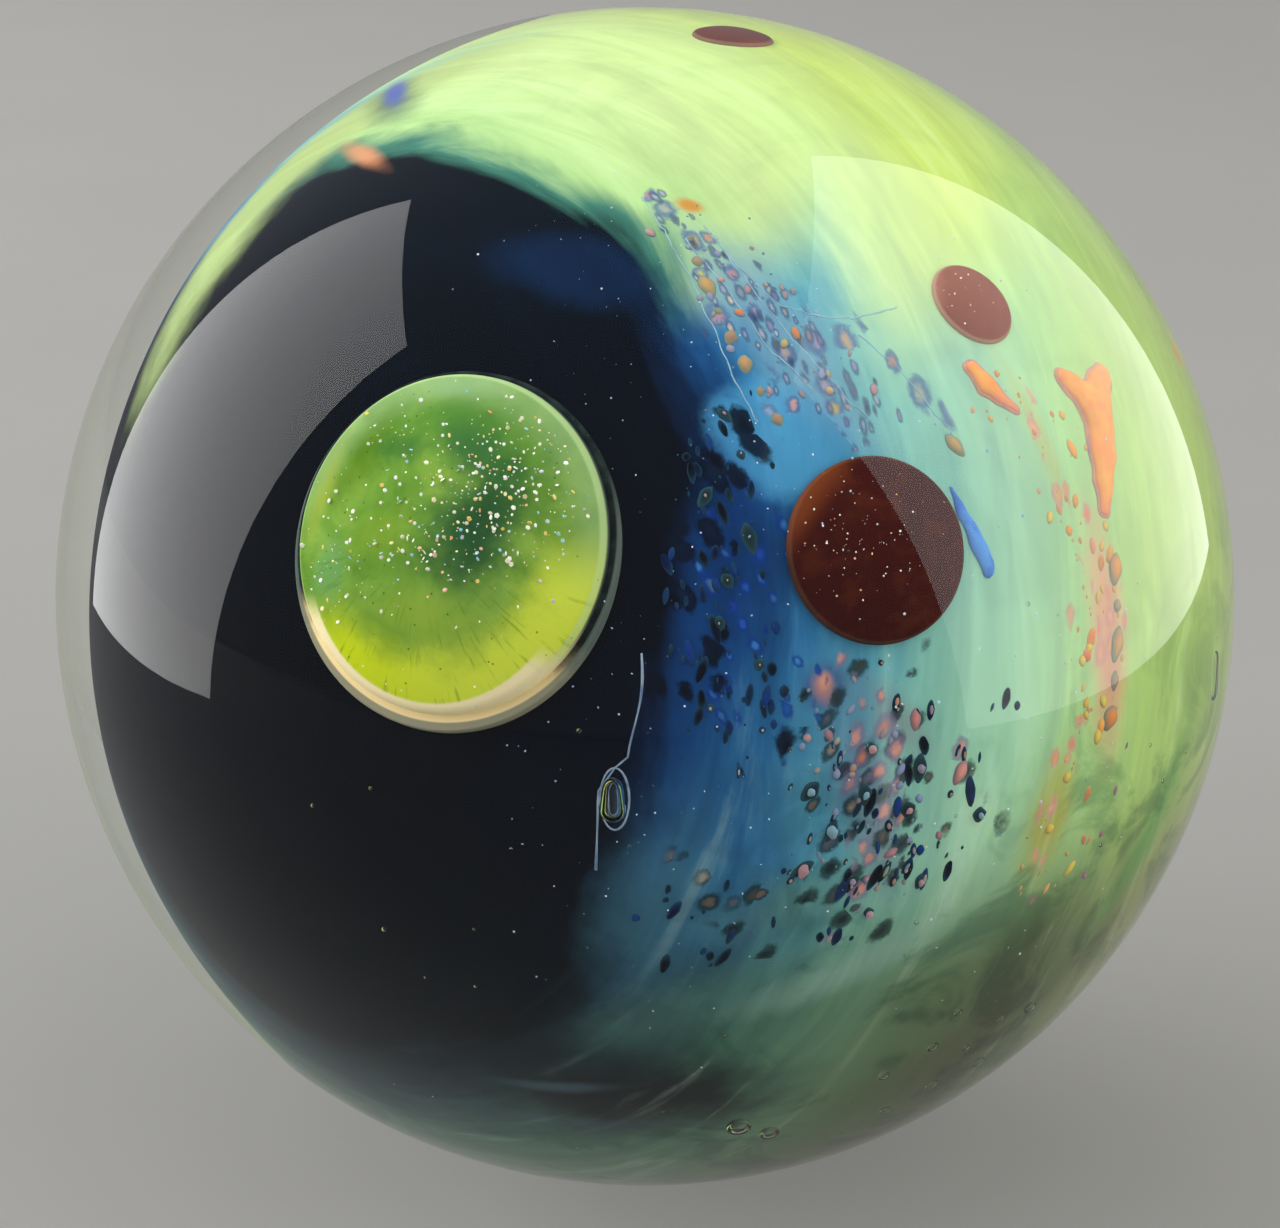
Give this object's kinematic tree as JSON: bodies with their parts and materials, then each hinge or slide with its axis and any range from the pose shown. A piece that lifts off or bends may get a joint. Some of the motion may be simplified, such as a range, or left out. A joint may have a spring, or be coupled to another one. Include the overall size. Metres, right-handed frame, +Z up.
{
  "type": "glass marble",
  "caption": "Handmade clear glass marble with a dark ball inside, colour wraps, small domed planets, frit and bubbles; a desk ornament that sits in a ring stand.",
  "frame": {"origin": "centre of the ball", "axes": "+Z up as the marble sits in a ring stand, with the side that carries the green planet and the large red planet towards -Y and the colour wraps towards +X"},
  "size_m": [0.038, 0.038, 0.038],
  "materials": {
    "clear_glass": "clear fire-polished glass",
    "navy_glass": "opaque near-black navy glass",
    "cobalt_glass": "opaque cobalt glass, streaked",
    "seafoam_glass": "opaque teal to mint glass, streaked",
    "lime_glass": "opaque yellow-green glass, streaked",
    "green_glass": "opaque green glass with fine flecks",
    "yellow_green_glass": "opaque yellow-green glass",
    "dark_green_glass": "opaque dark green glass",
    "cream_glass": "opaque cream to peach glass",
    "dark_red_glass": "opaque dark red glass with fine flecks",
    "rose_brown_glass": "opaque rose-brown glass",
    "red_brown_glass": "opaque red-brown glass",
    "amber_glass": "opaque amber glass",
    "pink_glass": "opaque pink glass",
    "sky_glass": "opaque sky-blue glass",
    "dot_glass": "opaque dark glass",
    "pale_glass": "opaque pale glass"
  },
  "bodies": {
    "root": {"clear_casing": "clear_glass", "night_ground": "navy_glass", "cobalt_wrap": "cobalt_glass", "seafoam_wrap": "seafoam_glass", "lime_wrap": "lime_glass", "green_planet": "green_glass", "lime_shore": "yellow_green_glass", "dark_land": "dark_green_glass", "cream_bed": "cream_glass", "big_red_planet": "dark_red_glass", "middle_red_planet": "rose_brown_glass", "small_red_planet": "red_brown_glass", "amber_frit": "amber_glass", "pink_frit": "pink_glass", "blue_tongue": "sky_glass", "dark_dots": "dot_glass", "pale_beads": "pale_glass"}
  },
  "joints": []
}
